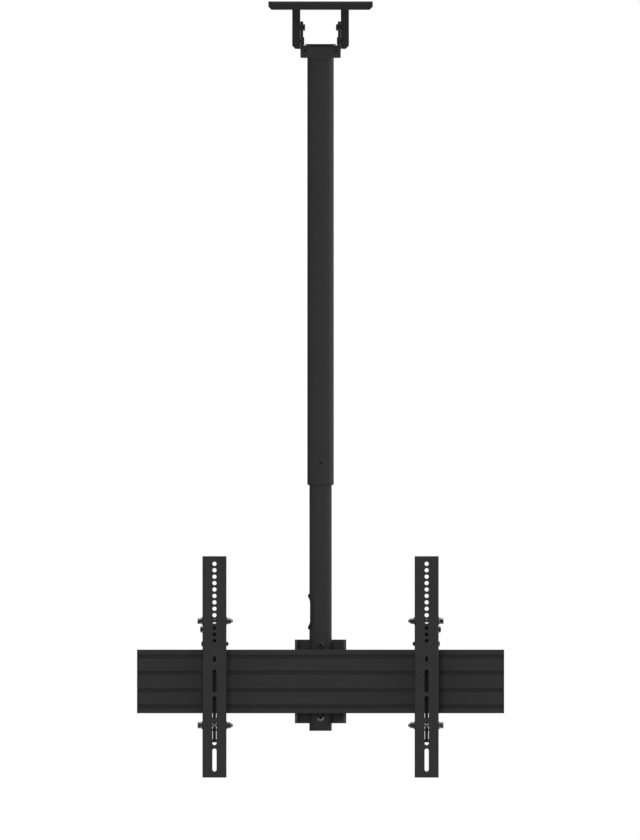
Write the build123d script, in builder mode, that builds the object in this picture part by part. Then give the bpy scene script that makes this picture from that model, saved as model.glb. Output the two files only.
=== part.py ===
import os
from math import atan2, degrees

from build123d import *

os.makedirs("parts", exist_ok=True)

# Sizes are in millimetres. X runs along the rail, Y runs from the screen to the back and Z runs up.
# The origin is the middle of the ceiling plate's upper face.

# Clearances shared by pieces that fit together
slide_gap = 0.3  # between faces that slide or turn on each other
side_gap = 0.5  # between nested folded sheets
hole_gap = 0.25  # round a bolt that passes through a moving piece
thread_gap = 0.05  # round a bolt in its nut, tapped hole or snug hole
lug_gap = 0.1  # between the head's lugs and the ceiling ears

# Ceiling plate: a folded sheet with a rim at the front and at the back
plate_width = 197.0
plate_depth = 150.0
plate_sheet = 4.0
plate_rim = 16.0
plate_corner = 6.0
plate_bend = 1.5
anchor_span_x = 160.0
anchor_span_y = 100.0
anchor_hole = 11.0
plate_cable_hole = 44.0

# Ceiling ears: channels with flanges turned outward, fixed under the plate
ear_gap = 76.4
ear_sheet = 4.0
ear_flange = 15.3
ear_depth = 70.0
ear_below_pivot = 40.7
ear_corner = 6.0
ear_bend = 1.5

# Pole head: folded sheet with two lugs up and two skirts down
pivot_drop = 49.0
tilt_limit = 25.0
lock_radius = 25.7
head_sheet = 5.4
head_bend = 2.0
lug_radius = 11.3
lug_width = 46.0
shelf_below_pivot = 33.6
skirt_height = 24.1
skirt_corner = 2.5
clamp_spacing = 58.6
clamp_below_shelf = 10.4

# Pole: outer tube with a collar that hangs on the head's shelf, and inner tube
outer_diameter = 50.0
outer_wall = 2.5
outer_length = 828.1
collar_radius = 28.8
collar_height = 2.0
height_lock_rise = 40.2
bush_length = 58.0
bush_lip_radius = 23.6
bush_lip_height = 1.2
inner_diameter = 42.2
inner_wall = 2.5
inner_reach = 464.4
inner_overlap = 385.0
stop_ring_length = 40.0
stop_ring_rim = 3.0
end_plug_rim = 2.5
end_plug_depth = 12.0

# Cable outlet in the left of the inner tube, with its rubber grommet
outlet_rise = 224.6
outlet_height = 56.0
outlet_width = 22.0
grommet_rim = 5.75
grommet_proud = 2.8
grommet_inner_rim = 3.5
grommet_lining = 1.25
grommet_round = 2.6

# Pole saddle: a channel behind the pole, open to the front
saddle_width = 97.0
saddle_height = 158.0
saddle_sheet = 4.0
saddle_bend = 2.0
saddle_lip_height = 92.0
saddle_lip_reach = 21.5
pole_bolt_span = 136.0

# Rail: hollow extrusion with front grooves, hook grooves and rear nut slots
rail_above_tube_end = 93.2
rail_standoff = 4.9
rail_length = 686.0
rail_height = 120.0
rail_depth = 36.0
rail_wall = 2.5
rail_edge = 1.5
front_groove_height = 6.8
front_groove_depth = 2.5
front_groove_inner = 33.2
front_groove_outer = 94.0
hook_lip = 4.0
hook_groove_width = 9.0
hook_groove_depth = 8.0
nut_slot_span = 60.0
nut_slot_opening = 8.6
nut_pocket_height = 14.0
nut_pocket_depth = 8.0
rail_bolt_span = 72.0
cap_thickness = 3.0
cap_plug_depth = 10.0
cap_plug_gap = 0.2

# Screen arms: punched channels, open to the back
arm_spacing = 400.0
arm_width = 45.3
arm_sheet = 2.5
arm_bend = 1.0
arm_standoff = 30.0
arm_depth = 26.0
arm_length = 417.4
arm_rise = 236.1
screen_hole = 7.7
screen_hole_count = 13
screen_hole_pitch = 12.1
screen_hole_inset = 14.4
screen_slot_count = 4
screen_slot_pitch = 49.6
screen_slot_length = 43.0
screen_slot_inset = 33.2
key_slot_width = 5.6
key_slot_length = 10.2
key_slot_rise = 42.1
tie_bolt_inset = 13.0
upper_tie_rise = 114.3
lower_tie_fall = 82.7

# Hook carriages: folded channels that hook over the rail and carry the arms
hook_sheet = 3.0
hook_rise = 35.5
hook_front_gap = 3.5
hook_taper_fall = 5.0
hook_knee_gap = 22.0
hook_shoulder = 30.0
hook_back_rise = 14.0
nose_thickness = 6.0
nose_gap = 0.5
nose_depth = 6.8
foot_gap = 3.0
foot_height = 10.0
foot_depth = 15.0
tab_fall = 25.1

# Arm tilt on the carriage
tilt_rise = 70.9
tilt_inset = 10.0
arm_tilt_limit = 12.0
tilt_screw_rise = 27.0
tilt_screw_forward = 2.5

# Fasteners: shank radius, head radius and head height, with nut and washer sizes
m8_shank = 4.0
m8_across = 13.0
m8_nut = 6.5
m8_washer = 8.0
m6_shank = 3.0
m6_across = 10.0
m6_nut = 5.0
washer_sheet = 1.6
bolt_end = 3.0
pivot_head_radius = 6.8
pivot_head_height = 3.4
lock_head_radius = 7.5
lock_head_height = 2.0
clamp_head_radius = 5.2
clamp_head_height = 3.0
height_lock_recess = 0.5
height_lock_key_depth = 2.0
pole_head_radius = 7.0
pole_head_height = 4.4
rail_head_height = 5.3
rail_bolt_length = 15.0
slot_nut_size = 13.0
slot_nut_height = 6.0
tie_washer = 7.2
tie_spring_washer = 6.2
tie_head_height = 6.0
tie_nut = 6.0
tie_bolt_end = 4.6
tilt_head_radius = 6.0
tilt_head_height = 4.1
pin_radius = 3.0
pin_head_radius = 4.6
pin_head_height = 1.9
pin_end = 3.8
pin_clip = 1.5
arm_lock_head_radius = 5.0
arm_lock_head_height = 6.3
arm_lock_length = 53.2
arm_lock_reach = 4.5
arm_lock_nut = 4.0
arm_lock_nut_gap = 4.0
key_m8 = 5.0
key_m6 = 4.0
key_depth = 4.0
head_edge = 0.8
dome_rim = 0.5

# Heights worked out from the sizes above
pivot_z = -pivot_drop
lock_z = pivot_z - lock_radius
ear_bottom_z = pivot_z - ear_below_pivot
shelf_z = pivot_z - shelf_below_pivot
clamp_z = shelf_z - clamp_below_shelf
outer_bottom_z = shelf_z - outer_length
height_lock_z = outer_bottom_z + height_lock_rise
inner_bottom_z = outer_bottom_z - inner_reach
inner_top_z = outer_bottom_z + inner_overlap
outlet_z = inner_bottom_z + outlet_rise
rail_z = inner_bottom_z + rail_above_tube_end
rail_top_z = rail_z + rail_height / 2
rail_bottom_z = rail_z - rail_height / 2
arm_top_z = rail_z + arm_rise
arm_bottom_z = arm_top_z - arm_length
tilt_z = rail_z + tilt_rise
hook_top_z = tilt_z + hook_rise
tab_z = rail_bottom_z - tab_fall

# Radii and depths worked out from the sizes above
outer_radius = outer_diameter / 2
outer_bore = outer_radius - outer_wall
inner_radius = inner_diameter / 2
inner_bore = inner_radius - inner_wall
head_half_width = ear_gap / 2 - lug_gap
lug_inner_x = head_half_width - head_sheet
skirt_inner_y = outer_radius + slide_gap
skirt_outer_y = skirt_inner_y + head_sheet
ear_outer_x = ear_gap / 2 + ear_sheet
saddle_web_y = inner_radius + slide_gap
saddle_back_y = saddle_web_y + saddle_sheet
rail_back_y = -inner_radius - rail_standoff
rail_front_y = rail_back_y - rail_depth
rail_mid_y = (rail_back_y + rail_front_y) / 2
arm_rear_y = rail_front_y - arm_standoff
arm_face_y = arm_rear_y - arm_depth
arm_x = arm_spacing / 2
arm_half_width = arm_width / 2
tie_y = arm_rear_y - tie_bolt_inset
tilt_y = arm_rear_y - tilt_inset
hook_half_width = arm_half_width - arm_sheet - side_gap
hook_web_y = rail_front_y - slide_gap
hook_front_y = arm_face_y + arm_sheet + hook_front_gap
nose_front_y = rail_front_y + hook_lip + nose_gap
nose_back_y = nose_front_y + nose_thickness
lock_groove_y = rail_front_y + hook_lip + hook_groove_width / 2
foot_front_y = lock_groove_y - foot_depth / 2
foot_back_y = lock_groove_y + foot_depth / 2

front = (0, -1, 0)
back = (0, 1, 0)
right = (1, 0, 0)
left = (-1, 0, 0)
up = (0, 0, 1)
down = (0, 0, -1)


def rod(origin, direction, radius, length):
    """Round bar that starts at origin and runs along direction."""
    with BuildSketch(Plane(origin=origin, z_dir=direction)) as section:
        Circle(radius)
    extrude(section.sketch, amount=length)


def ring(origin, direction, radius, bore, length):
    """Washer or sleeve that starts at origin and runs along direction."""
    with BuildSketch(Plane(origin=origin, z_dir=direction)) as section:
        Circle(radius)
        Circle(bore, mode=Mode.SUBTRACT)
    extrude(section.sketch, amount=length)


def nut(origin, direction, across, bore, height):
    """Hexagon nut that starts at origin and runs along direction."""
    with BuildSketch(Plane(origin=origin, z_dir=direction)) as section:
        RegularPolygon(radius=across / 2, side_count=6, major_radius=False)
        Circle(bore, mode=Mode.SUBTRACT)
    extrude(section.sketch, amount=height)


def hex_bolt(origin, direction, shank, length, across, head_height):
    """Bolt whose hexagon head sits on origin and points along direction."""
    nut(origin, direction, across, shank, head_height)
    tip = Vector(*origin) - Vector(*direction) * length
    rod(tip, direction, shank, length + head_height)


def screw(origin, direction, shank, length, head_radius, head_height, key, edge=head_edge):
    """Screw whose head sits on origin and points along direction, with a round edge and a hexagon socket."""
    outward = Vector(*direction)
    across = Vector(1, 0, 0) if abs(outward.X) < 0.5 else Vector(0, 0, 1)
    half_plane = Plane(origin=origin, x_dir=across, z_dir=across.cross(outward))
    with BuildSketch(half_plane) as half_section:
        with BuildLine():
            Polyline(
                (head_radius - edge, head_height),
                (0, head_height),
                (0, -length),
                (shank, -length),
                (shank, 0),
                (head_radius, 0),
                (head_radius, head_height - edge),
            )
            CenterArc((head_radius - edge, head_height - edge), edge, 0, 90)
        make_face()
    revolve(half_section.sketch, axis=Axis(origin, direction))
    crown = Vector(*origin) + outward * head_height
    with BuildSketch(Plane(origin=crown, z_dir=direction)) as socket:
        RegularPolygon(radius=key / 2, side_count=6, major_radius=False)
    extrude(socket.sketch, amount=-key_depth, mode=Mode.SUBTRACT)


def domed_screw(origin, direction, shank, length, head_radius, head_height, key):
    """Screw with a domed head above a low straight rim."""
    screw(origin, direction, shank, length, head_radius, head_height, key, head_height - dome_rim)


# Ceiling plate
with BuildPart() as ceiling_plate:
    with BuildSketch(Plane.YZ) as plate_section:
        Rectangle(plate_depth, plate_rim, align=(Align.CENTER, Align.MAX))
        fillet(plate_section.vertices().group_by(Axis.Y)[-1], plate_bend + plate_sheet)
        with BuildSketch(mode=Mode.SUBTRACT) as plate_inside:
            with Locations((0, -plate_sheet)):
                Rectangle(plate_depth - 2 * plate_sheet, plate_rim, align=(Align.CENTER, Align.MAX))
            fillet(plate_inside.vertices().group_by(Axis.Y)[-1], plate_bend)
    extrude(amount=plate_width / 2, both=True)
    rim_corners = ceiling_plate.edges().filter_by(Axis.Y).group_by(Axis.Z)[0]
    chamfer(rim_corners, plate_corner)
    with BuildSketch(Plane.XY):
        with GridLocations(anchor_span_x, anchor_span_y, 2, 2):
            Circle(anchor_hole / 2)
        Circle(plate_cable_hole / 2)
    extrude(amount=-plate_sheet, mode=Mode.SUBTRACT)

# Ceiling ears, with a pivot hole and an arc slot for the lock bolt
with BuildPart() as right_ceiling_ear:
    with BuildSketch(Plane.XY.offset(-plate_sheet)) as ear_section:
        with Locations((ear_gap / 2, 0)):
            Rectangle(ear_flange, ear_depth, align=(Align.MIN, Align.CENTER))
        fillet(ear_section.vertices().group_by(Axis.X)[0], ear_bend + ear_sheet)
        with BuildSketch(mode=Mode.SUBTRACT) as ear_inside:
            with Locations((ear_outer_x, 0)):
                Rectangle(ear_flange, ear_depth - 2 * ear_sheet, align=(Align.MIN, Align.CENTER))
            fillet(ear_inside.vertices().group_by(Axis.X)[0], ear_bend)
    extrude(amount=ear_bottom_z + plate_sheet)
    lower_edges = right_ceiling_ear.edges().filter_by(Axis.Y).group_by(Axis.Z)[0]
    chamfer(lower_edges.group_by(Axis.X)[-1], ear_corner)
    with BuildSketch(Plane.YZ.offset(ear_gap / 2)):
        with Locations((0, pivot_z)):
            Circle(m8_shank + thread_gap)
        with BuildLine() as lock_path:
            CenterArc((0, pivot_z), lock_radius, 270 - tilt_limit, 2 * tilt_limit)
        SlotArc(lock_path.edge(), 2 * (m8_shank + hole_gap))
    extrude(amount=ear_sheet, mode=Mode.SUBTRACT)

with BuildPart() as left_ceiling_ear:
    mirror(right_ceiling_ear.part, about=Plane.YZ)

# Pivot bolts: heads inside the head's lugs, nuts outside the ceiling ears
pivot_seat_x = lug_inner_x - slide_gap
with BuildPart() as pivot_bolts:
    for side, inward in ((1, left), (-1, right)):
        reach = ear_outer_x + washer_sheet + m8_nut + bolt_end - pivot_seat_x
        domed_screw((side * pivot_seat_x, 0, pivot_z), inward, m8_shank, reach,
                    pivot_head_radius, pivot_head_height, key_m8)

with BuildPart() as pivot_washers:
    for side, outward in ((1, right), (-1, left)):
        ring((side * ear_outer_x, 0, pivot_z), outward, m8_washer, m8_shank + thread_gap, washer_sheet)

with BuildPart() as pivot_nuts:
    for side, outward in ((1, right), (-1, left)):
        nut((side * (ear_outer_x + washer_sheet), 0, pivot_z), outward, m8_across,
            m8_shank + thread_gap, m8_nut)

# Pole head: shelf with two skirts, two lugs and the holes for the pole and the bolts
with BuildPart() as pole_head:
    with BuildSketch(Plane.YZ) as skirt_section:
        with Locations((0, shelf_z)):
            Rectangle(2 * skirt_outer_y, skirt_height, align=(Align.CENTER, Align.MAX))
        fillet(skirt_section.vertices().group_by(Axis.Y)[-1], head_bend + head_sheet)
        with BuildSketch(mode=Mode.SUBTRACT) as skirt_inside:
            with Locations((0, shelf_z - head_sheet)):
                Rectangle(2 * skirt_inner_y, skirt_height, align=(Align.CENTER, Align.MAX))
            fillet(skirt_inside.vertices().group_by(Axis.Y)[-1], head_bend)
    extrude(amount=head_half_width, both=True)
    fillet(pole_head.edges().filter_by(Axis.Y).group_by(Axis.Z)[0], skirt_corner)
    for lug_x in (lug_inner_x, -head_half_width):
        with BuildSketch(Plane.YZ.offset(lug_x)):
            with Locations((0, pivot_z)):
                Circle(lug_radius)
            with Locations((0, shelf_z)):
                Rectangle(lug_width, head_sheet, align=(Align.CENTER, Align.MAX))
            make_hull()
        extrude(amount=head_sheet)
        with BuildSketch(Plane.YZ.offset(lug_x)):
            with Locations((0, pivot_z)):
                Circle(m8_shank + hole_gap)
            with Locations((0, lock_z)):
                Circle(m8_shank + thread_gap)
        extrude(amount=head_sheet, mode=Mode.SUBTRACT)
    with BuildSketch(Plane.XY.offset(shelf_z)):
        Circle(outer_radius + slide_gap)
    extrude(amount=-head_sheet - head_bend, mode=Mode.SUBTRACT)
    with BuildSketch(Plane.XZ.offset(skirt_outer_y)):
        with Locations((clamp_spacing / 2, clamp_z), (-clamp_spacing / 2, clamp_z)):
            Circle(m6_shank + thread_gap)
    extrude(amount=-2 * skirt_outer_y, mode=Mode.SUBTRACT)

# Lock bolts: they ride with the head in the arc slots of the ceiling ears
lock_washer_x = ear_outer_x + slide_gap
with BuildPart() as lock_bolts:
    for side, inward in ((1, left), (-1, right)):
        reach = lock_washer_x + washer_sheet + m8_nut + bolt_end - lug_inner_x
        domed_screw((side * lug_inner_x, 0, lock_z), inward, m8_shank, reach,
                    lock_head_radius, lock_head_height, key_m8)

with BuildPart() as lock_washers:
    for side, outward in ((1, right), (-1, left)):
        ring((side * lock_washer_x, 0, lock_z), outward, m8_washer, m8_shank + thread_gap, washer_sheet)

with BuildPart() as lock_nuts:
    for side, outward in ((1, right), (-1, left)):
        nut((side * (lock_washer_x + washer_sheet), 0, lock_z), outward, m8_across,
            m8_shank + thread_gap, m8_nut)

# Clamp screws: they draw the skirts together on the pole
with BuildPart() as clamp_screws:
    for side in (1, -1):
        screw((side * clamp_spacing / 2, -skirt_outer_y, clamp_z), front, m6_shank,
              2 * skirt_outer_y + m6_nut + bolt_end, clamp_head_radius, clamp_head_height, key_m6)

with BuildPart() as clamp_nuts:
    for side in (1, -1):
        nut((side * clamp_spacing / 2, skirt_outer_y, clamp_z), back, m6_across,
            m6_shank + thread_gap, m6_nut)

# Outer tube, with the collar that it hangs by
with BuildPart() as outer_tube:
    collar_z = shelf_z + slide_gap
    ring((0, 0, outer_bottom_z), up, outer_radius, outer_bore, collar_z + collar_height - outer_bottom_z)
    ring((0, 0, collar_z), up, collar_radius, outer_bore, collar_height)
    with BuildSketch(Plane.XZ.offset(outer_radius)):
        with Locations((0, height_lock_z)):
            Circle(m8_shank + thread_gap)
    extrude(amount=-outer_radius, mode=Mode.SUBTRACT)

with BuildPart() as lower_guide_bush:
    bush_bore = inner_radius + slide_gap
    ring((0, 0, outer_bottom_z), up, outer_bore - thread_gap, bush_bore, bush_length)
    ring((0, 0, outer_bottom_z), down, bush_lip_radius, bush_bore, bush_lip_height)
    with BuildSketch(Plane.XZ.offset(outer_radius)):
        with Locations((0, height_lock_z)):
            Circle(m8_shank + thread_gap)
    extrude(amount=-outer_radius, mode=Mode.SUBTRACT)

with BuildPart() as height_lock_screw:
    lock_tip_y = -inner_radius - slide_gap
    lock_end_y = -outer_radius + height_lock_recess
    rod((0, lock_tip_y, height_lock_z), front, m8_shank, lock_tip_y - lock_end_y)
    with BuildSketch(Plane.XZ.offset(-lock_end_y)):
        with Locations((0, height_lock_z)):
            RegularPolygon(radius=key_m6 / 2, side_count=6, major_radius=False)
    extrude(amount=-height_lock_key_depth, mode=Mode.SUBTRACT)

# Inner tube, with the cable outlet and the cross holes for the saddle bolts
with BuildPart() as inner_tube:
    tube_end_z = inner_bottom_z + end_plug_rim
    ring((0, 0, tube_end_z), up, inner_radius, inner_bore, inner_top_z - tube_end_z)
    with BuildSketch(Plane.XZ.offset(inner_radius)):
        with Locations((0, rail_z)):
            with GridLocations(0, pole_bolt_span, 1, 2):
                Circle(m8_shank + thread_gap)
    extrude(amount=-2 * inner_radius, mode=Mode.SUBTRACT)
    with BuildSketch(Plane.YZ.offset(-inner_radius)):
        with Locations((0, outlet_z)):
            SlotOverall(outlet_height, outlet_width, rotation=90)
    extrude(amount=inner_radius, mode=Mode.SUBTRACT)

# Stop ring on top of the inner tube: it keeps the tube from leaving the bush
with BuildPart() as stop_ring:
    stop_radius = outer_bore - slide_gap
    ring((0, 0, inner_top_z), down, stop_radius, inner_radius + thread_gap, stop_ring_length)
    ring((0, 0, inner_top_z), up, stop_radius, inner_bore, stop_ring_rim)

with BuildPart() as tube_end_plug:
    rod((0, 0, inner_bottom_z), up, inner_radius, end_plug_rim)
    rod((0, 0, tube_end_z), up, inner_bore - thread_gap, end_plug_depth)


def tube_patch(inner_limit, outer_limit, height, width):
    """Part of a tube wall between two radii, with an obround outline, at the cable outlet."""
    with BuildPart() as patch:
        ring((0, 0, outlet_z - height), up, outer_limit, inner_limit, 2 * height)
        with BuildSketch(Plane.YZ.offset(-2 * outer_limit)):
            with Locations((0, outlet_z)):
                SlotOverall(height, width, rotation=90)
        extrude(amount=2 * outer_limit - inner_limit / 2, mode=Mode.INTERSECT)
    return patch.part


# Cable grommet: a rim outside the tube, a neck in the outlet and a smaller rim inside
with BuildPart() as cable_grommet:
    outside_radius = inner_radius + grommet_proud
    inside_radius = inner_bore - grommet_proud
    add(tube_patch(inner_radius + thread_gap, outside_radius,
                   outlet_height + 2 * grommet_rim, outlet_width + 2 * grommet_rim))
    add(tube_patch(inside_radius, outside_radius,
                   outlet_height - 2 * thread_gap, outlet_width - 2 * thread_gap))
    add(tube_patch(inside_radius, inner_bore - thread_gap,
                   outlet_height + 2 * grommet_inner_rim, outlet_width + 2 * grommet_inner_rim))
    with BuildSketch(Plane.YZ.offset(-2 * inner_radius)):
        with Locations((0, outlet_z)):
            SlotOverall(outlet_height - 2 * grommet_lining, outlet_width - 2 * grommet_lining, rotation=90)
    extrude(amount=2 * inner_radius, mode=Mode.SUBTRACT)
    rim_face = cable_grommet.faces().sort_by(Axis.X)[0]
    fillet(rim_face.edges(), grommet_round)

# Pole saddle: channel with two lips that meet the back of the rail
with BuildPart() as pole_saddle:
    saddle_depth = saddle_back_y - rail_back_y
    with BuildSketch(Plane.XY.offset(rail_z - saddle_height / 2)) as saddle_section:
        with Locations((0, saddle_back_y)):
            Rectangle(saddle_width, saddle_depth, align=(Align.CENTER, Align.MAX))
        fillet(saddle_section.vertices().group_by(Axis.Y)[-1], saddle_bend + saddle_sheet)
        with BuildSketch(mode=Mode.SUBTRACT) as saddle_inside:
            with Locations((0, saddle_web_y)):
                Rectangle(saddle_width - 2 * saddle_sheet, saddle_depth, align=(Align.CENTER, Align.MAX))
            fillet(saddle_inside.vertices().group_by(Axis.Y)[-1], saddle_bend)
    extrude(amount=saddle_height)
    with BuildSketch(Plane.XZ.offset(-rail_back_y)):
        with Locations((saddle_width / 2, rail_z)):
            Rectangle(saddle_lip_reach, saddle_lip_height, align=(Align.MAX, Align.CENTER))
        with Locations((-saddle_width / 2, rail_z)):
            Rectangle(saddle_lip_reach, saddle_lip_height, align=(Align.MIN, Align.CENTER))
    extrude(amount=-saddle_sheet)
    with BuildSketch(Plane.XZ.offset(-rail_back_y)):
        with Locations((0, rail_z)):
            with GridLocations(rail_bolt_span, nut_slot_span, 2, 2):
                Circle(m8_shank + hole_gap)
    extrude(amount=-saddle_sheet, mode=Mode.SUBTRACT)
    with BuildSketch(Plane.XZ.offset(-saddle_back_y)):
        with Locations((0, rail_z)):
            with GridLocations(0, pole_bolt_span, 1, 2):
                Circle(m8_shank + thread_gap)
    extrude(amount=saddle_sheet, mode=Mode.SUBTRACT)

# Screws that hold the saddle to the pole: only the lower one has a washer under its head
upper_seat_y = -inner_radius - thread_gap
lower_seat_y = upper_seat_y - washer_sheet
pole_nut_y = saddle_back_y + washer_sheet
pole_bolt_end_y = pole_nut_y + m8_nut + bolt_end
upper_pole_z = rail_z + pole_bolt_span / 2
lower_pole_z = rail_z - pole_bolt_span / 2

with BuildPart() as upper_pole_screw:
    domed_screw((0, upper_seat_y, upper_pole_z), front, m8_shank, pole_bolt_end_y - upper_seat_y,
                pole_head_radius, pole_head_height, key_m8)

with BuildPart() as lower_pole_bolt:
    domed_screw((0, lower_seat_y, lower_pole_z), front, m8_shank, pole_bolt_end_y - lower_seat_y,
                pole_head_radius, pole_head_height, key_m8)

with BuildPart() as pole_washers:
    ring((0, upper_seat_y, lower_pole_z), front, m8_washer, m8_shank + thread_gap, washer_sheet)
    for bolt_z in (upper_pole_z, lower_pole_z):
        ring((0, saddle_back_y, bolt_z), back, m8_washer, m8_shank + thread_gap, washer_sheet)

with BuildPart() as pole_nuts:
    for bolt_z in (upper_pole_z, lower_pole_z):
        nut((0, pole_nut_y, bolt_z), back, m8_across, m8_shank + thread_gap, m8_nut)

# Rail section, seen from the end: local X runs to the back and local Y runs up
rail_end_plane = Plane(origin=(-rail_length / 2, rail_mid_y, rail_z), x_dir=back, z_dir=right)
half_depth = rail_depth / 2
half_height = rail_height / 2
chamber_front = -half_depth + front_groove_depth + rail_wall
chamber_back = half_depth - rail_wall
pocket_front = chamber_back - nut_pocket_depth
middle_chamber_height = nut_slot_span - nut_pocket_height - 2 * rail_wall
outer_chamber_low = nut_slot_span / 2 + nut_pocket_height / 2 + rail_wall
outer_chamber_high = half_height - hook_groove_depth - rail_wall


def span_rectangle(left_edge, right_edge, low, high, mode=Mode.ADD):
    """Rectangle given by its four sides."""
    with Locations(((left_edge + right_edge) / 2, (low + high) / 2)):
        Rectangle(right_edge - left_edge, high - low, mode=mode)


def end_chambers(gap):
    """Chambers of the rail that the end caps plug into, made smaller by gap all round."""
    low = -middle_chamber_height / 2 + gap
    span_rectangle(chamber_front + gap, chamber_back - gap, low, -low)
    for sign in (1, -1):
        ends = sorted((sign * (outer_chamber_low + gap), sign * (outer_chamber_high - gap)))
        span_rectangle(chamber_front + gap, chamber_back - gap, *ends)


with BuildPart() as rail:
    with BuildSketch(rail_end_plane) as rail_section:
        Rectangle(rail_depth, rail_height)
        fillet(rail_section.vertices(), rail_edge)
        with BuildSketch(mode=Mode.SUBTRACT):
            end_chambers(0)
            for pitch in (front_groove_inner, front_groove_outer):
                with Locations((-half_depth, pitch / 2), (-half_depth, -pitch / 2)):
                    Rectangle(front_groove_depth, front_groove_height, align=(Align.MIN, Align.CENTER))
            for sign in (1, -1):
                slot_y = sign * nut_slot_span / 2
                pocket = (slot_y - nut_pocket_height / 2, slot_y + nut_pocket_height / 2)
                span_rectangle(pocket_front, chamber_back, *pocket)
                span_rectangle(chamber_front, pocket_front - rail_wall, *pocket)
                span_rectangle(chamber_back, half_depth, slot_y - nut_slot_opening / 2,
                               slot_y + nut_slot_opening / 2)
                groove = sorted((sign * half_height, sign * (half_height - hook_groove_depth)))
                groove_front = -half_depth + hook_lip
                span_rectangle(groove_front, groove_front + hook_groove_width, *groove)
    extrude(amount=rail_length)

with BuildPart() as left_end_cap:
    with BuildSketch(rail_end_plane) as cap_outline:
        Rectangle(rail_depth, rail_height)
        fillet(cap_outline.vertices(), rail_edge)
    extrude(amount=-cap_thickness)
    with BuildSketch(rail_end_plane):
        end_chambers(cap_plug_gap)
    extrude(amount=cap_plug_depth)

with BuildPart() as right_end_cap:
    mirror(left_end_cap.part, about=Plane.YZ)

# Bolts and slot nuts that hold the rail to the lips of the saddle
lip_back_y = rail_back_y + saddle_sheet
rail_bolt_places = [
    (sign_x * rail_bolt_span / 2, rail_z + sign_z * nut_slot_span / 2)
    for sign_x in (1, -1)
    for sign_z in (1, -1)
]

with BuildPart() as rail_bolts:
    for bolt_x, bolt_z in rail_bolt_places:
        hex_bolt((bolt_x, lip_back_y + washer_sheet, bolt_z), back, m8_shank, rail_bolt_length,
                 m8_across, rail_head_height)

with BuildPart() as rail_washers:
    for bolt_x, bolt_z in rail_bolt_places:
        ring((bolt_x, lip_back_y, bolt_z), back, m8_washer, m8_shank + thread_gap, washer_sheet)

with BuildPart() as slot_nuts:
    for bolt_x, bolt_z in rail_bolt_places:
        with BuildSketch(Plane.XZ.offset(-rail_back_y + rail_wall)):
            with Locations((bolt_x, bolt_z)):
                Rectangle(slot_nut_size, slot_nut_size)
                Circle(m8_shank + thread_gap, mode=Mode.SUBTRACT)
        extrude(amount=slot_nut_height)

# Hook carriage: two hooked side plates, a web on the rail's face and a tab under the rail
with BuildPart() as right_hook:
    foot_top_z = rail_bottom_z - foot_gap
    knee_y = rail_front_y - hook_knee_gap
    for plate_x in (arm_x + hook_half_width - hook_sheet, arm_x - hook_half_width):
        with BuildSketch(Plane.YZ.offset(plate_x)):
            with BuildLine():
                Polyline(
                    (hook_front_y, hook_top_z),
                    (hook_web_y, hook_top_z),
                    (hook_web_y, rail_top_z + hook_shoulder),
                    (nose_back_y, rail_top_z + hook_back_rise),
                    (nose_back_y, rail_top_z - nose_depth),
                    (nose_front_y, rail_top_z - nose_depth),
                    (nose_front_y, rail_top_z + slide_gap),
                    (hook_web_y, rail_top_z + slide_gap),
                    (hook_web_y, foot_top_z),
                    (foot_back_y, foot_top_z),
                    (foot_back_y, tab_z),
                    (foot_front_y, tab_z),
                    (foot_front_y, foot_top_z - foot_height),
                    (knee_y, foot_top_z - foot_height),
                    (knee_y, rail_bottom_z),
                    (hook_front_y, tilt_z - hook_taper_fall),
                    close=True,
                )
            make_face()
        extrude(amount=hook_sheet)
    with BuildSketch(Plane.XY.offset(rail_bottom_z)):
        with Locations((arm_x, hook_web_y)):
            Rectangle(2 * hook_half_width, hook_sheet, align=(Align.CENTER, Align.MAX))
    extrude(amount=hook_top_z - rail_bottom_z)
    with BuildSketch(Plane.XY.offset(tab_z)):
        with Locations((arm_x, lock_groove_y)):
            Rectangle(2 * hook_half_width, foot_depth)
            Circle(m6_shank + thread_gap, mode=Mode.SUBTRACT)
    extrude(amount=hook_sheet)
    with BuildSketch(Plane.YZ.offset(arm_x - hook_half_width)):
        with Locations((tilt_y, tilt_z)):
            Circle(pin_radius + thread_gap)
    extrude(amount=2 * hook_half_width, mode=Mode.SUBTRACT)
    with BuildSketch(Plane.YZ.offset(arm_x + hook_half_width)):
        with Locations((tilt_y - tilt_screw_forward, tilt_z + tilt_screw_rise)):
            Circle(m6_shank + thread_gap)
    extrude(amount=-hook_sheet, mode=Mode.SUBTRACT)

# Lock screw: it points up into the rail's lower groove and keeps the hook on the rail
with BuildPart() as right_lock_screw:
    lock_head_z = rail_bottom_z + arm_lock_reach - arm_lock_length
    screw((arm_x, lock_groove_y, lock_head_z), down, m6_shank, arm_lock_length,
          arm_lock_head_radius, arm_lock_head_height, key_m6)

with BuildPart() as right_lock_nut:
    nut((arm_x, lock_groove_y, tab_z - arm_lock_nut_gap), down, m6_across, m6_shank + thread_gap,
        arm_lock_nut)

# Tilt pivot pin, with its head outside the arm and a clip on its inner end
with BuildPart() as right_pivot_pin:
    pin_seat_x = arm_x + arm_half_width + slide_gap
    pin_tip_x = arm_x - arm_half_width - pin_end
    rod((pin_tip_x, tilt_y, tilt_z), right, pin_radius, pin_seat_x - pin_tip_x)
    rod((pin_seat_x, tilt_y, tilt_z), right, pin_head_radius, pin_head_height)

with BuildPart() as right_pivot_clip:
    ring((arm_x - arm_half_width - slide_gap, tilt_y, tilt_z), left, pin_head_radius,
         pin_radius + thread_gap, pin_clip)

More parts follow.
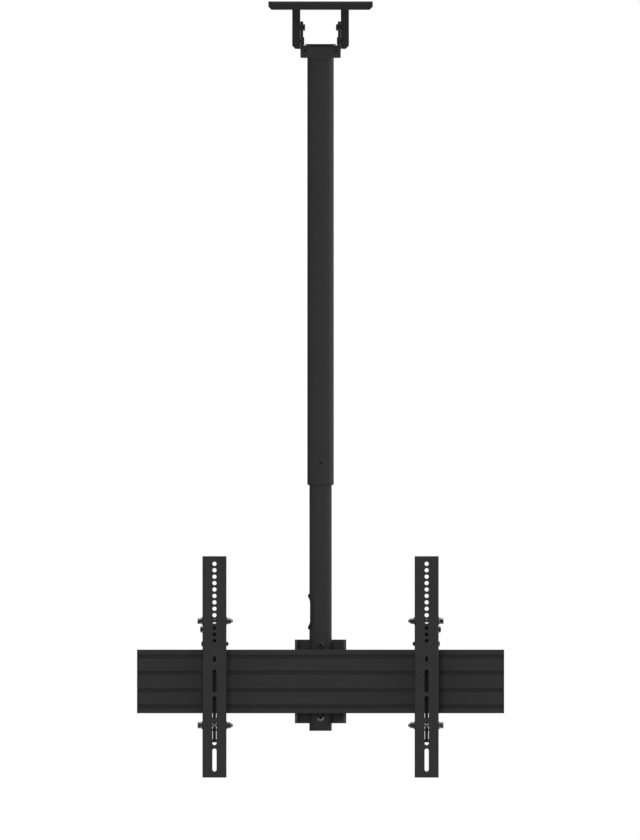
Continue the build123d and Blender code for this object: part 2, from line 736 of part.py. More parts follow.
# Tilt screw, in the arc slot of the arm's outer flange
tilt_screw_y = tilt_y - tilt_screw_forward
tilt_screw_z = tilt_z + tilt_screw_rise
with BuildPart() as right_tilt_screw:
    tilt_nut_x = arm_x + hook_half_width - hook_sheet
    domed_screw((pin_seat_x, tilt_screw_y, tilt_screw_z), right, m6_shank,
                pin_seat_x - tilt_nut_x + m6_nut, tilt_head_radius, tilt_head_height, key_m6)

with BuildPart() as right_tilt_nut:
    nut((tilt_nut_x, tilt_screw_y, tilt_screw_z), left, m6_across, m6_shank + thread_gap, m6_nut)

# Screen arm: channel with round holes above, long slots below, and holes in its flanges
tie_places = [(tie_y, rail_z + upper_tie_rise), (tie_y, rail_z - lower_tie_fall)]
with BuildPart() as right_arm:
    with BuildSketch(Plane.XY.offset(arm_bottom_z)) as arm_section:
        with Locations((arm_x, arm_face_y)):
            Rectangle(arm_width, arm_depth, align=(Align.CENTER, Align.MIN))
        fillet(arm_section.vertices().group_by(Axis.Y)[0], arm_bend + arm_sheet)
        with BuildSketch(mode=Mode.SUBTRACT) as arm_inside:
            with Locations((arm_x, arm_face_y + arm_sheet)):
                Rectangle(arm_width - 2 * arm_sheet, arm_depth, align=(Align.CENTER, Align.MIN))
            fillet(arm_inside.vertices().group_by(Axis.Y)[0], arm_bend)
    extrude(amount=arm_length)
    with BuildSketch(Plane.XZ.offset(-arm_face_y)):
        for number in range(screen_hole_count):
            with Locations((arm_x, arm_top_z - screen_hole_inset - number * screen_hole_pitch)):
                Circle(screen_hole / 2)
        for number in range(screen_slot_count):
            with Locations((arm_x, arm_bottom_z + screen_slot_inset + number * screen_slot_pitch)):
                SlotOverall(screen_slot_length, screen_hole, rotation=90)
        with Locations((arm_x, rail_z + key_slot_rise)):
            SlotOverall(key_slot_length, key_slot_width, rotation=90)
    extrude(amount=-arm_sheet, mode=Mode.SUBTRACT)
    with BuildSketch(Plane.YZ.offset(arm_x - arm_half_width)):
        with Locations((tilt_y, tilt_z)):
            Circle(pin_radius + hole_gap)
        with Locations(*tie_places):
            Circle(m6_shank + thread_gap)
    extrude(amount=arm_width, mode=Mode.SUBTRACT)
    tilt_screw_radius = Vector(tilt_screw_forward, tilt_screw_rise).length
    tilt_screw_angle = degrees(atan2(tilt_screw_rise, -tilt_screw_forward))
    with BuildSketch(Plane.YZ.offset(arm_x + arm_half_width)):
        with BuildLine() as tilt_path:
            CenterArc((tilt_y, tilt_z), tilt_screw_radius, tilt_screw_angle - arm_tilt_limit,
                      arm_tilt_limit)
        SlotArc(tilt_path.edge(), 2 * (m6_shank + hole_gap))
    extrude(amount=-arm_sheet, mode=Mode.SUBTRACT)

# Tie bolts across the arm: hexagon heads on the outer side, locknuts on the inner side
outer_face_x = arm_x + arm_half_width
inner_face_x = arm_x - arm_half_width
with BuildPart() as right_tie_bolts:
    for bolt_y, bolt_z in tie_places:
        seat_x = outer_face_x + 2 * washer_sheet
        end_x = inner_face_x - washer_sheet - tie_nut - tie_bolt_end
        hex_bolt((seat_x, bolt_y, bolt_z), right, m6_shank, seat_x - end_x, m6_across, tie_head_height)

with BuildPart() as right_tie_washers:
    for bolt_y, bolt_z in tie_places:
        ring((outer_face_x, bolt_y, bolt_z), right, tie_washer, m6_shank + thread_gap, washer_sheet)
        ring((inner_face_x, bolt_y, bolt_z), left, tie_washer, m6_shank + thread_gap, washer_sheet)

with BuildPart() as right_spring_washers:
    for bolt_y, bolt_z in tie_places:
        ring((outer_face_x + washer_sheet, bolt_y, bolt_z), right, tie_spring_washer,
             m6_shank + thread_gap, washer_sheet)

with BuildPart() as right_tie_nuts:
    for bolt_y, bolt_z in tie_places:
        nut((inner_face_x - washer_sheet, bolt_y, bolt_z), left, m6_across, m6_shank + thread_gap, tie_nut)

pieces = {
    "ceiling_plate": ceiling_plate.part,
    "left_ceiling_ear": left_ceiling_ear.part,
    "right_ceiling_ear": right_ceiling_ear.part,
    "pivot_bolts": pivot_bolts.part,
    "pivot_washers": pivot_washers.part,
    "pivot_nuts": pivot_nuts.part,
    "pole_head": pole_head.part,
    "lock_bolts": lock_bolts.part,
    "lock_washers": lock_washers.part,
    "lock_nuts": lock_nuts.part,
    "clamp_screws": clamp_screws.part,
    "clamp_nuts": clamp_nuts.part,
    "outer_tube": outer_tube.part,
    "lower_guide_bush": lower_guide_bush.part,
    "height_lock_screw": height_lock_screw.part,
    "inner_tube": inner_tube.part,
    "stop_ring": stop_ring.part,
    "tube_end_plug": tube_end_plug.part,
    "cable_grommet": cable_grommet.part,
    "pole_saddle": pole_saddle.part,
    "upper_pole_screw": upper_pole_screw.part,
    "lower_pole_bolt": lower_pole_bolt.part,
    "pole_washers": pole_washers.part,
    "pole_nuts": pole_nuts.part,
    "rail": rail.part,
    "left_end_cap": left_end_cap.part,
    "right_end_cap": right_end_cap.part,
    "rail_bolts": rail_bolts.part,
    "rail_washers": rail_washers.part,
    "slot_nuts": slot_nuts.part,
}

# Pieces of the right arm, which the left arm has in mirror image
arm_pieces = {
    "hook": right_hook.part,
    "lock_screw": right_lock_screw.part,
    "lock_nut": right_lock_nut.part,
    "pivot_pin": right_pivot_pin.part,
    "pivot_clip": right_pivot_clip.part,
    "tilt_screw": right_tilt_screw.part,
    "tilt_nut": right_tilt_nut.part,
    "arm": right_arm.part,
    "tie_bolts": right_tie_bolts.part,
    "tie_washers": right_tie_washers.part,
    "spring_washers": right_spring_washers.part,
    "tie_nuts": right_tie_nuts.part,
}
for name, piece in arm_pieces.items():
    with BuildPart() as left_piece:
        mirror(piece, about=Plane.YZ)
    pieces["right_" + name] = piece
    pieces["left_" + name] = left_piece.part

for name, piece in pieces.items():
    piece.label = name
    export_step(piece, f"parts/{name}.step")
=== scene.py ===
"""Looks of the TV ceiling mount: finishes, fastener detail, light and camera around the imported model."""
import math
from collections import namedtuple

import bmesh
import bpy
from mathutils import Matrix, Vector


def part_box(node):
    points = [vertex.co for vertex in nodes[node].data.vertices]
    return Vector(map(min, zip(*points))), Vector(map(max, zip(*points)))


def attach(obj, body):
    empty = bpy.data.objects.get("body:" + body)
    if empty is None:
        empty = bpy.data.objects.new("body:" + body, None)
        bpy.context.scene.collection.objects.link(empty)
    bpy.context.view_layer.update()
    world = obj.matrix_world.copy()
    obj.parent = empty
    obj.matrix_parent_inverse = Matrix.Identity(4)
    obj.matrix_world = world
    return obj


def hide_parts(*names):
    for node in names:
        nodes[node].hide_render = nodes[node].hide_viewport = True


# Lengths are in metres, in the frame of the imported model: X along the rail, Y to the back and Z up
x_axis = 0
y_axis = 1
z_axis = 2
up = Vector((0.0, 0.0, 1.0))

# View: the photograph is a level front view without perspective
image_height = 840
metres_per_pixel = 0.001885
view_centre = Vector((-0.00106, 0.0, -0.7891))
camera_distance = 4.0

# Light: lamps face the target, and the floor lies far below the lowest pose of the sliding pole
target = Vector((0.0, 0.0, -0.75))
ambient_light = 0.44
floor_height = -3.6
floor_size = 40.0
floor_glow = 0.59

# Dark cards in front, below and on the left: they shape the gloss, and only reflections see them
front_card = Vector((0.0, -5.0, -0.75))
lower_card = Vector((0.0, 0.0, -2.25))
left_card = Vector((-4.0, 7.0, -0.75))
card_size = 9.0
left_card_length = 24.0
front_card_tone = 0.03
lower_card_tone = 0.28
left_card_tone = 0.16
card_unevenness = 0.1

# Noise textures mostly stay between these two values
noise_low = 0.3
noise_high = 0.7

# Worn edges, and painted highlights on the saddle's edges: rays that find them, cosine of the turn at
# which they show fully, and their uneven patches
edge_samples = 4
edge_facing = 0.9
edge_patches = 120.0
edge_least = 0.2

# Painted shade in recesses: rays that find them, and the open share of the sky at which the painted shade
# is darkest
recess_shade_samples = 8
recess_shade_openness = 0.5

# Painted shade: the plate and the ears under the ceiling get a darker copy of the coat, as if they lay in
# shade
ceiling_painted_shade_scale = 0.66

# Rounding of edges that are sharper than the sharp angle, on meshes whose flat faces are joined first
painted_edge = 0.0006
formed_edge = 0.0005
moulded_edge = 0.0003
washer_edge = 0.00025
split_washer_edge = 0.00015
edge_segments = 2
sharp_angle = math.radians(35)
flat_angle = math.radians(0.3)

# Points of a mesh that are closer than this are one point
same_point = 1e-5

# Threads: radius of the shank and pitch, depth of the ridge and share of it that the valleys keep
Thread = namedtuple("Thread", "radius pitch")
m6 = Thread(radius=0.003, pitch=0.001)
m8 = Thread(radius=0.004, pitch=0.00125)
thread_depth = 0.00028
thread_root = 0.1
thread_setback = 0.0005
thread_sides = 24
thread_steps = 6

# Lock screws of the carriages: height of their heads
lock_head_height = 0.0063

# Locknuts carry a collar on their outer end, rolled in over a plastic insert
collar_radius = 0.0045
collar_height = 0.0016
collar_wall = 0.0008
collar_shoulder = 0.00088
collar_roll = 0.00024
collar_roll_height = 0.00144
collar_tuck = 0.00016
collar_tuck_height = 0.00128
collar_sides = 32
insert_sink = 0.0005

# Split washers: where they are open, angle left open and how far the ends stand apart
washer_turn = math.radians(120)
washer_gap = math.radians(14)
washer_lift = 0.0005
washer_steps = 40

# Weld seams inside the channels of the ceiling ears
ear_sheet = 0.004
weld_radius = 0.0026
weld_sink = 0.0004
weld_end = 0.002
weld_ripple = 0.0022
weld_wave = 0.0003
weld_steps = 6
weld_sides = 10

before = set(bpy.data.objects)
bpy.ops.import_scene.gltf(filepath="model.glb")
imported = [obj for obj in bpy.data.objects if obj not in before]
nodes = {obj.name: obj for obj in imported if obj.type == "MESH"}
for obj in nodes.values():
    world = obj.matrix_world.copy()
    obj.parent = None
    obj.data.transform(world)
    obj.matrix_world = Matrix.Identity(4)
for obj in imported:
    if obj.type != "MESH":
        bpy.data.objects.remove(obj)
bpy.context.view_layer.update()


def map_range(tree, value, first, last, low, high):
    """Map a value that runs from first to last on the range from low to high."""
    node = tree.nodes.new("ShaderNodeMapRange")
    node.inputs["From Min"].default_value = first
    node.inputs["From Max"].default_value = last
    node.inputs["To Min"].default_value = low
    node.inputs["To Max"].default_value = high
    tree.links.new(value, node.inputs["Value"])
    return node.outputs["Result"]


def combine(tree, operation, first, second):
    """Combine two values by an operation such as their product or the larger one."""
    node = tree.nodes.new("ShaderNodeMath")
    node.operation = operation
    tree.links.new(first, node.inputs[0])
    tree.links.new(second, node.inputs[1])
    return node.outputs["Value"]


class Finish:
    """A procedural material, with the wiring that every finish of this part shares."""

    def __init__(self, name, roughness, metallic=0.0, specular=0.5):
        self.material = bpy.data.materials.new(name)
        self.material.use_nodes = True
        self.tree = self.material.node_tree
        self.shader = self.tree.nodes["Principled BSDF"]
        self.shader.inputs["Roughness"].default_value = roughness
        self.shader.inputs["Metallic"].default_value = metallic
        self.shader.inputs["Specular IOR Level"].default_value = specular
        self.place = self.add("ShaderNodeTexCoord").outputs["Object"]

    def add(self, kind, **inputs):
        """Add a node and set the inputs that are named."""
        node = self.tree.nodes.new(kind)
        for name, value in inputs.items():
            node.inputs[name].default_value = value
        return node

    def noise(self, scale, detail=2.0, stretch=(1.0, 1.0, 1.0)):
        """Noise in the frame's own metres, with features about one over scale metres wide."""
        mapping = self.add("ShaderNodeMapping", Scale=stretch)
        texture = self.add("ShaderNodeTexNoise", Scale=scale, Detail=detail)
        self.tree.links.new(self.place, mapping.inputs["Vector"])
        self.tree.links.new(mapping.outputs["Vector"], texture.inputs["Vector"])
        return texture.outputs["Fac"]

    def spread(self, value, low, high):
        """Stretch the middle of a noise to the range from low to high."""
        return map_range(self.tree, value, noise_low, noise_high, low, high)

    def mix(self, factor, first, second):
        """Mix two colours, each a tone or the output of another node."""
        node = self.add("ShaderNodeMix")
        node.data_type = "RGBA"
        sockets = {socket.identifier: socket for socket in node.inputs}
        self.tree.links.new(factor, sockets["Factor_Float"])
        for socket, value in ((sockets["A_Color"], first), (sockets["B_Color"], second)):
            if isinstance(value, tuple):
                socket.default_value = (*value, 1.0)
            else:
                self.tree.links.new(value, socket)
        return next(socket for socket in node.outputs if socket.identifier == "Result_Color")

    def colour(self, value, dark, light):
        """Colour the surface between two tones."""
        tone = self.mix(self.spread(value, 0.0, 1.0), dark, light)
        self.tree.links.new(tone, self.shader.inputs["Base Color"])

    def lay_over(self, factor, tone):
        """Lay another tone over the colour, as strong as the factor."""
        below = self.shader.inputs["Base Color"].links[0].from_socket
        over = self.mix(factor, below, tone)
        self.tree.links.new(over, self.shader.inputs["Base Color"])

    def speckle(self, value, tone, share):
        """Lay another tone over the colour, as strong as share where the noise is high."""
        self.lay_over(self.spread(value, 0.0, share), tone)

    def edges(self, width, tone, share):
        """Lay another tone along edges, unevenly: worn paint where it is faint, a painted highlight where
        it is light and strong.
        """
        rounded = self.add("ShaderNodeBevel", Radius=width)
        rounded.samples = edge_samples
        flat = self.add("ShaderNodeNewGeometry")
        facing = self.add("ShaderNodeVectorMath")
        facing.operation = "DOT_PRODUCT"
        self.tree.links.new(rounded.outputs["Normal"], facing.inputs[0])
        self.tree.links.new(flat.outputs["Normal"], facing.inputs[1])
        near = map_range(self.tree, facing.outputs["Value"], 1.0, edge_facing, 0.0, share)
        patches = self.spread(self.noise(edge_patches), edge_least, 1.0)
        self.lay_over(combine(self.tree, "MULTIPLY", near, patches), tone)

    def paint_recess_shade(self, reach, tone, share):
        """Lay another tone over the colour as painted shade, in grooves and sockets narrower than twice
        the reach.
        """
        open_sky = self.add("ShaderNodeAmbientOcclusion", Distance=reach)
        open_sky.samples = recess_shade_samples
        closed = map_range(self.tree, open_sky.outputs["AO"], 1.0, recess_shade_openness, 0.0, share)
        self.lay_over(closed, tone)

    def rough(self, value, low, high):
        """Vary the roughness."""
        self.tree.links.new(self.spread(value, low, high), self.shader.inputs["Roughness"])

    def bump(self, value, height):
        """Raise the surface by the noise."""
        node = self.add("ShaderNodeBump", Strength=1.0, Distance=height)
        self.tree.links.new(value, node.inputs["Height"])
        self.tree.links.new(node.outputs["Normal"], self.shader.inputs["Normal"])


def grey(value, warmth=0.0):
    """A neutral tone, warmer above zero and cooler below."""
    return (value * (1.0 + warmth), value, value * (1.0 - warmth))


def powder_coat(name, shade=1.0, edge_width=0.0009, edge_tone=0.06, edge_share=0.2):
    """Fine-grained powder coat with worn edges; shade scales its tones, painting shade below one and light
    above one, and a light, strong edge tone paints highlights.
    """
    coat = Finish(name, roughness=0.6, specular=0.2)
    grain = coat.noise(scale=1300.0, detail=1.0)
    coat.colour(coat.noise(scale=7.0), dark=grey(0.0225 * shade), light=grey(0.0250 * shade))
    coat.speckle(grain, tone=grey(0.033 * shade), share=0.45)
    coat.edges(edge_width, grey(edge_tone * shade), edge_share)
    coat.rough(grain, low=0.56, high=0.68)
    coat.bump(grain, height=0.0003)
    return coat.material


def anodised_rail():
    """Dark anodised aluminium with fine lines drawn along the rail, and painted shade inside its grooves.
    """
    rail = Finish("anodised_rail", roughness=0.5, specular=0.22)
    drawn = rail.noise(scale=260.0, detail=3.0, stretch=(0.02, 1.0, 1.0))
    rail.colour(drawn, dark=grey(0.0235), light=grey(0.0270))
    rail.edges(width=0.0006, tone=grey(0.08), share=0.15)
    rail.paint_recess_shade(reach=0.006, tone=grey(0.008), share=0.8)
    rail.rough(drawn, low=0.44, high=0.58)
    rail.bump(drawn, height=0.00006)
    return rail.material


def black_oxide():
    """Mottled blackened steel, worn on its edges, with painted shade in its sockets."""
    oxide = Finish("black_oxide", roughness=0.42, specular=0.25)
    mottle = oxide.noise(scale=420.0)
    oxide.colour(mottle, dark=grey(0.023), light=grey(0.028))
    oxide.edges(width=0.0004, tone=grey(0.07), share=0.3)
    oxide.paint_recess_shade(reach=0.004, tone=grey(0.004), share=0.9)
    oxide.rough(mottle, low=0.36, high=0.52)
    oxide.bump(mottle, height=0.00005)
    return oxide.material


def zinc_plate():
    """Bright zinc with cloudy tones, and painted shade in its sockets."""
    zinc = Finish("zinc_plate", roughness=0.26, metallic=1.0)
    cloud = zinc.noise(scale=320.0, detail=3.0)
    zinc.colour(cloud, dark=grey(0.52, warmth=-0.02), light=grey(0.66, warmth=0.01))
    zinc.paint_recess_shade(reach=0.004, tone=grey(0.08), share=0.9)
    zinc.rough(cloud, low=0.2, high=0.34)
    zinc.bump(zinc.noise(scale=1600.0), height=0.00002)
    return zinc.material


def moulded_plastic():
    """Matt plastic with the fine spark texture of its mould."""
    plastic = Finish("moulded_plastic", roughness=0.5, specular=0.3)
    spark = plastic.noise(scale=1800.0, detail=1.0)
    plastic.colour(plastic.noise(scale=30.0), dark=grey(0.016), light=grey(0.020))
    plastic.rough(spark, low=0.44, high=0.58)
    plastic.bump(spark, height=0.00003)
    return plastic.material


def grommet_rubber():
    """Matt rubber with a faint bloom."""
    rubber = Finish("grommet_rubber", roughness=0.75, specular=0.25)
    bloom = rubber.noise(scale=240.0, detail=3.0)
    rubber.colour(bloom, dark=grey(0.012), light=grey(0.017))
    rubber.rough(bloom, low=0.66, high=0.84)
    rubber.bump(rubber.noise(scale=1500.0), height=0.00004)
    return rubber.material


# One finish for each material slot of the record, and copies of the coat with painted shade and painted
# light that only some nodes have
finishes = {
    "black_rail": anodised_rail(),
    "black_steel": black_oxide(),
    "zinc_steel": zinc_plate(),
    "black_plastic": moulded_plastic(),
    "black_rubber": grommet_rubber(),
    "black_coat": powder_coat("powder_coat"),
    # A darker copy of the coat, with painted shade, for the plate and the ears under the ceiling
    "coat_with_painted_shade": powder_coat("coat_with_painted_shade", shade=ceiling_painted_shade_scale),
    # Painted light: the saddle, which lies in shade behind the pole and the rail, gets a lighter copy of
    # the coat and painted highlights along its edges
    "coat_with_painted_light": powder_coat("coat_with_painted_light", shade=1.1, edge_width=0.0018, edge_tone=0.3, edge_share=0.9),
}
painted_light_and_shade_coats = {
    "ceiling_plate": "coat_with_painted_shade",
    "left_ceiling_ear": "coat_with_painted_shade",
    "right_ceiling_ear": "coat_with_painted_shade",
    "pole_saddle": "coat_with_painted_light",
}


def finish_nodes():
    """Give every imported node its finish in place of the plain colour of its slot."""
    for name, node in nodes.items():
        for index, material in enumerate(node.data.materials):
            slot = material.name.split(".")[0]
            node.data.materials[index] = finishes[painted_light_and_shade_coats.get(name, slot)]


def soften(width, *names):
    """Round the sharp edges of nodes, as paint, tumbling or moulding leaves them."""
    for name in names:
        node = nodes[name]
        node.data.polygons.foreach_set("use_smooth", [True] * len(node.data.polygons))
        joined = node.modifiers.new("joined", "WELD")
        joined.merge_threshold = same_point
        flat = node.modifiers.new("flat", "DECIMATE")
        flat.decimate_type = "DISSOLVE"
        flat.angle_limit = flat_angle
        edge = node.modifiers.new("edge", "BEVEL")
        edge.width = width
        edge.segments = edge_segments
        edge.limit_method = "ANGLE"
        edge.angle_limit = sharp_angle
        shading = node.modifiers.new("shading", "WEIGHTED_NORMAL")
        shading.keep_sharp = False


def both(*names):
    """The left and right nodes of names that come in pairs."""
    return [f"{side}_{name}" for side in ("left", "right") for name in names]


finish_nodes()
soften(painted_edge, "ceiling_plate", *both("ceiling_ear"), "pole_head", "pole_saddle")
soften(formed_edge, *both("arm", "hook"), "outer_tube", "inner_tube")
soften(formed_edge, "pivot_nuts", "lock_nuts", "pole_nuts", "clamp_nuts", "rail_bolts", "slot_nuts")
soften(formed_edge, *both("tie_bolts", "tie_nuts", "lock_nut", "tilt_nut"))
soften(moulded_edge, "rail", *both("end_cap"), "lower_guide_bush", "stop_ring", "tube_end_plug")
soften(washer_edge, "pivot_washers", "lock_washers", "pole_washers", "rail_washers", *both("tie_washers"))


def add_mesh(name, shape, material):
    """Put a mesh in the scene as an object with one material."""
    mesh = bpy.data.meshes.new(name)
    shape.to_mesh(mesh)
    shape.free()
    mesh.materials.append(material)
    thing = bpy.data.objects.new(name, mesh)
    bpy.context.scene.collection.objects.link(thing)
    return thing


def add_piece(name, shape, body, slot, finish=None, replaced=()):
    """Add a mesh as a piece that rides on a body, with the finish of its slot unless another is named."""
    bmesh.ops.recalc_face_normals(shape, faces=shape.faces)
    piece = add_mesh(name, shape, finishes[finish or slot])
    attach(piece, body)
    if replaced:
        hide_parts(*replaced)
    return piece


def solids(name):
    """Boxes of the separate solids of a node, each with its lowest and highest corner."""
    shape = bmesh.new()
    shape.from_mesh(nodes[name].data)
    bmesh.ops.remove_doubles(shape, verts=shape.verts, dist=same_point)
    waiting = set(shape.verts)
    boxes = []
    while waiting:
        reached = [waiting.pop()]
        for vertex in reached:
            for edge in vertex.link_edges:
                other = edge.other_vert(vertex)
                if other in waiting:
                    waiting.remove(other)
                    reached.append(other)
        corners = list(zip(*(vertex.co for vertex in reached)))
        boxes.append((Vector(map(min, corners)), Vector(map(max, corners))))
    shape.free()
    return boxes


def middle(box):
    """Centre of a box."""
    return (box[0] + box[1]) / 2


def nearest(box, boxes):
    """The box whose centre is closest to that of another one."""
    return min(boxes, key=lambda other: (middle(other) - middle(box)).length)


def far_side(box, axis, sign):
    """Coordinate of the side of a box that faces along or against an axis."""
    return box[1 if sign > 0 else 0][axis]


def outer_end(nut, bolt, axis):
    """Direction along an axis in which a nut lies on its bolt, and the centre of its outer face."""
    sign = 1 if middle(nut)[axis] > middle(bolt)[axis] else -1
    face = middle(nut)
    face[axis] = far_side(nut, axis, sign)
    return sign, face


def turned(axis, sign, centre):
    """Placement whose Z runs along one of the frame's axes from a point."""
    direction = Vector((0.0, 0.0, 0.0))
    direction[axis] = sign
    return Matrix.Translation(centre) @ direction.to_track_quat("Z", "Y").to_matrix().to_4x4()


def sweep_rings(shape, rings, closed=False):
    """Skin a row of point rings with faces, and close its ends unless it runs round."""
    rows = [[shape.verts.new(point) for point in ring] for ring in rings]
    pairs = list(zip(rows, rows[1:]))
    if closed:
        pairs.append((rows[-1], rows[0]))
    for row, following in pairs:
        for index in range(len(row)):
            after = (index + 1) % len(row)
            face = shape.faces.new((row[index], row[after], following[after], following[index]))
            face.smooth = True
    if not closed:
        shape.faces.new(rows[0])
        shape.faces.new(rows[-1])


def spoke(angle):
    """Direction at an angle round Z."""
    return Vector((math.cos(angle), math.sin(angle), 0.0))


def add_thread(shape, place, thread, length):
    """A screw thread round a shank, from the origin of a placement along its Z."""
    count = max(2, round(length / thread.pitch * thread_steps))
    rings = []
    for step in range(count + 1):
        height = length * step / count
        taper = min(1.0, (length - height) / thread.pitch)
        ring = []
        for side in range(thread_sides):
            turn = side / thread_sides
            phase = (height / thread.pitch - turn) % 1.0
            ridge = 1.0 - abs(2.0 * phase - 1.0)
            rise = thread_root + (1.0 - thread_root) * ridge * taper
            reach = thread.radius + thread_depth * rise
            ring.append(place @ (spoke(2.0 * math.pi * turn) * reach + up * height))
        rings.append(ring)
    sweep_rings(shape, rings)


def bolt_ends(name, bolts, nuts, axis, thread, body, slot):
    """Threads on the ends of bolts that stand out of their nuts."""
    shape = bmesh.new()
    nut_boxes = solids(nuts)
    for bolt in solids(bolts):
        sign, start = outer_end(nearest(bolt, nut_boxes), bolt, axis)
        length = abs(far_side(bolt, axis, sign) - start[axis]) - thread_setback
        add_thread(shape, turned(axis, sign, start), thread, length)
    add_piece(name, shape, body, slot)


def lock_thread(side):
    """Thread along the whole shank of a carriage's lock screw."""
    low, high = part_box(f"{side}_lock_screw")
    start = Vector(((low[0] + high[0]) / 2, (low[1] + high[1]) / 2, low[2] + lock_head_height))
    shape = bmesh.new()
    add_thread(shape, turned(z_axis, 1, start), m6, high[2] - start[2] - thread_setback)
    add_piece(f"{side}_lock_thread", shape, f"{side}_carriage", "black_steel")


def revolve(shape, place, profile):
    """Turn a closed profile of radius and height pairs round the Z of a placement."""
    rings = []
    for side in range(collar_sides):
        across = spoke(2.0 * math.pi * side / collar_sides)
        rings.append([place @ (across * radius + up * height) for radius, height in profile])
    sweep_rings(shape, rings, closed=True)


def locknut_ends(side):
    """Rolled collars on a screen arm's locknuts, and the plastic rings that they hold."""
    lip = collar_radius - collar_wall
    bore = m6.radius + thread_depth
    insert_height = collar_height - insert_sink
    collar_profile = [
        (lip, 0.0),
        (collar_radius, 0.0),
        (collar_radius, collar_shoulder),
        (collar_radius - collar_roll, collar_roll_height),
        (lip, collar_height),
        (lip - collar_tuck, collar_tuck_height),
    ]
    insert_profile = [(bore, 0.0), (lip, 0.0), (lip, insert_height), (bore, insert_height)]
    collars = bmesh.new()
    inserts = bmesh.new()
    bolt_boxes = solids(f"{side}_tie_bolts")
    for nut in solids(f"{side}_tie_nuts"):
        sign, start = outer_end(nut, nearest(nut, bolt_boxes), x_axis)
        place = turned(x_axis, sign, start)
        revolve(collars, place, collar_profile)
        revolve(inserts, place, insert_profile)
    add_piece(f"{side}_locknut_collars", collars, f"{side}_screen_arm", "zinc_steel")
    add_piece(f"{side}_locknut_inserts", inserts, f"{side}_screen_arm", "black_plastic")


def split_washers(side):
    """Spring washers cut open, with ends that stand apart, in place of the plain rings."""
    shape = bmesh.new()
    node = f"{side}_spring_washers"
    for box in solids(node):
        size = box[1] - box[0]
        outer = size[1] / 2
        thick = size[0] / 2 - washer_lift / 2
        section = [(m6.radius, -thick), (outer, -thick), (outer, thick), (m6.radius, thick)]
        place = turned(x_axis, 1, middle(box))
        rings = []
        for step in range(washer_steps + 1):
            part = step / washer_steps
            across = spoke(washer_gap / 2 + part * (2.0 * math.pi - washer_gap) + washer_turn)
            rise = washer_lift * (part - 0.5)
            rings.append([place @ (across * radius + up * (height + rise)) for radius, height in section])
        sweep_rings(shape, rings)
    name = f"{side}_split_washers"
    piece = add_piece(name, shape, f"{side}_screen_arm", "zinc_steel", replaced=[node])
    piece.data.polygons.foreach_set("use_smooth", [False] * len(piece.data.polygons))
    edge = piece.modifiers.new("edge", "BEVEL")
    edge.width = split_washer_edge
    edge.segments = edge_segments


def weld_seams(side):
    """Rippled weld beads where a ceiling ear's channel meets the plate, on the inside of the channel."""
    low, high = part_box(f"{side}_ceiling_ear")
    sign = 1 if side == "right" else -1
    web = sign * (min(abs(low[0]), abs(high[0])) + ear_sheet)
    edge = sign * (max(abs(low[0]), abs(high[0])) - weld_end)
    reach = high[1] - ear_sheet
    top = high[2] - weld_sink
    corners = [(edge, -reach), (web, -reach), (web, reach), (edge, reach)]
    path = [Vector((x, y, top)) for x, y in corners]
    shape = bmesh.new()
    for start, end in zip(path, path[1:]):
        along = (end - start).normalized()
        across = along.cross(up)
        length = (end - start).length
        count = round(length / weld_ripple * weld_steps)
        rings = []
        for step in range(count + 1):
            distance = length * step / count
            wave = abs(math.sin(math.pi * distance / weld_ripple))
            radius = weld_radius - weld_wave * (1.0 - wave)
            centre = start + along * distance
            ring = []
            for corner in range(weld_sides):
                angle = 2.0 * math.pi * corner / weld_sides
                lean = along * (weld_wave * math.cos(angle))
                outward = across * math.cos(angle) + up * math.sin(angle)
                ring.append(centre + lean + outward * radius)
            rings.append(ring)
        sweep_rings(shape, rings)
    # The welds inside the ears take the darker copy of the coat, with painted shade
    add_piece(f"{side}_ear_weld", shape, "ceiling", "black_coat", finish="coat_with_painted_shade")


bolt_ends("pivot_bolt_threads", "pivot_bolts", "pivot_nuts", x_axis, m8, "ceiling", "black_steel")
bolt_ends("lock_bolt_threads", "lock_bolts", "lock_nuts", x_axis, m8, "head", "black_steel")
bolt_ends("clamp_screw_threads", "clamp_screws", "clamp_nuts", y_axis, m6, "head", "black_steel")
bolt_ends("upper_pole_thread", "upper_pole_screw", "pole_nuts", y_axis, m8, "drop", "black_steel")
bolt_ends("lower_pole_thread", "lower_pole_bolt", "pole_nuts", y_axis, m8, "drop", "zinc_steel")
for side in ("left", "right"):
    bolt_ends(f"{side}_tie_threads", f"{side}_tie_bolts", f"{side}_tie_nuts", x_axis, m6,
              f"{side}_screen_arm", "zinc_steel")
    lock_thread(side)
    locknut_ends(side)
    split_washers(side)
    weld_seams(side)


def add_camera():
    """A level camera without perspective, framed as the photograph is."""
    data = bpy.data.cameras.new("camera")
    data.type = "ORTHO"
    data.ortho_scale = image_height * metres_per_pixel
    camera = bpy.data.objects.new("camera", data)
    camera.location = view_centre + Vector((0.0, -camera_distance, 0.0))
    camera.rotation_euler = (math.radians(90), 0.0, 0.0)
    bpy.context.scene.collection.objects.link(camera)
    bpy.context.scene.camera = camera


def add_lamp(name, place, size, power, mirrored=True):
    """A square soft box that faces the middle of the object, and may be left out of reflections."""
    data = bpy.data.lights.new(name, "AREA")
    data.size = size
    data.energy = power
    lamp = bpy.data.objects.new(name, data)
    lamp.location = place
    lamp.rotation_euler = (target - Vector(place)).to_track_quat("-Z", "Y").to_euler()
    lamp.visible_glossy = mirrored
    bpy.context.scene.collection.objects.link(lamp)


def seen_rays(tree):
    """One for rays from the camera, from reflections and through glass, and zero for other light."""
    path = tree.nodes.new("ShaderNodeLightPath")
    seen = path.outputs["Is Camera Ray"]
    for ray in ("Is Glossy Ray", "Is Transmission Ray"):
        seen = combine(tree, "MAXIMUM", seen, path.outputs[ray])
    return seen


def add_world():
    """White as far as the camera and reflections see it, and a plain grey light on everything else."""
    world = bpy.data.worlds.new("studio")
    world.use_nodes = True
    tree = world.node_tree
    background = tree.nodes["Background"]
    background.inputs["Color"].default_value = (1.0, 1.0, 1.0, 1.0)
    strength = map_range(tree, seen_rays(tree), 0.0, 1.0, ambient_light, 1.0)
    tree.links.new(strength, background.inputs["Strength"])
    bpy.context.scene.world = world


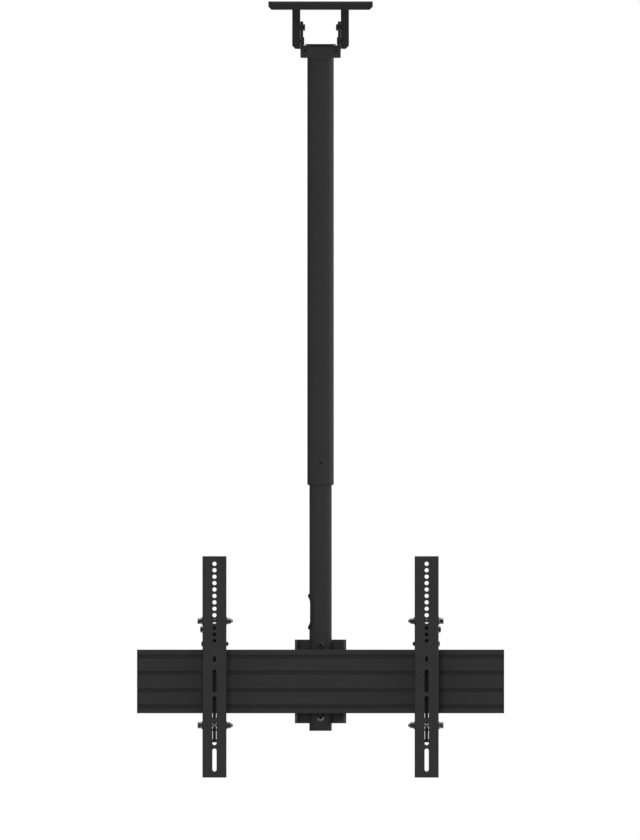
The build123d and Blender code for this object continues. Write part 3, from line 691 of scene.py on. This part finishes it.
def add_floor():
    """A wide pale floor far below the mount, which hangs from a ceiling."""
    paint = Finish("floor_paint", roughness=0.9, specular=0.1)
    paint.colour(paint.noise(scale=3.0), dark=grey(0.84), light=grey(0.86))
    glow = map_range(paint.tree, seen_rays(paint.tree), 0.0, 1.0, 0.0, floor_glow)
    paint.tree.links.new(glow, paint.shader.inputs["Emission Strength"])
    paint.shader.inputs["Emission Color"].default_value = (1.0, 1.0, 1.0, 1.0)
    shape = bmesh.new()
    bmesh.ops.create_grid(shape, x_segments=1, y_segments=1, size=floor_size / 2)
    bmesh.ops.translate(shape, verts=shape.verts, vec=up * floor_height)
    add_mesh("floor", shape, paint.material)


def add_card(name, centre, normal, width, height, tone):
    """A dark card for reflections only, which faces along normal."""
    cloth = Finish(f"{name}_cloth", roughness=1.0, specular=0.0)
    dark = grey(tone * (1.0 - card_unevenness))
    light = grey(tone * (1.0 + card_unevenness))
    cloth.colour(cloth.noise(scale=20.0), dark, light)
    shape = bmesh.new()
    bmesh.ops.create_grid(shape, x_segments=1, y_segments=1, size=0.5)
    bmesh.ops.scale(shape, verts=shape.verts, vec=(width, height, 1.0))
    turn = Vector(normal).to_track_quat("Z", "Y").to_matrix()
    bmesh.ops.rotate(shape, verts=shape.verts, matrix=turn)
    bmesh.ops.translate(shape, verts=shape.verts, vec=centre)
    card = add_mesh(name, shape, cloth.material)
    card.visible_camera = False
    card.visible_diffuse = False
    card.visible_shadow = False


add_camera()
add_world()
add_floor()
add_card("front_card", front_card, (0.0, 1.0, 0.0), card_size, card_size, front_card_tone)
add_card("lower_card", lower_card, (0.0, 0.0, 1.0), card_size, card_size, lower_card_tone)
add_card("left_card", left_card, (1.0, 0.0, 0.0), left_card_length, card_size, left_card_tone)
add_lamp("rim", place=(2.4, 0.9, -0.4), size=1.6, power=12.0)
add_lamp("front", place=(-0.6, -8.0, -0.75), size=2.2, power=388.0, mirrored=False)
add_lamp("back", place=(0.4, 3.4, 0.2), size=2.2, power=60.0, mirrored=False)
add_lamp("top", place=(0.0, -0.2, 2.4), size=2.0, power=8.0)

bpy.context.scene.view_settings.view_transform = "Standard"
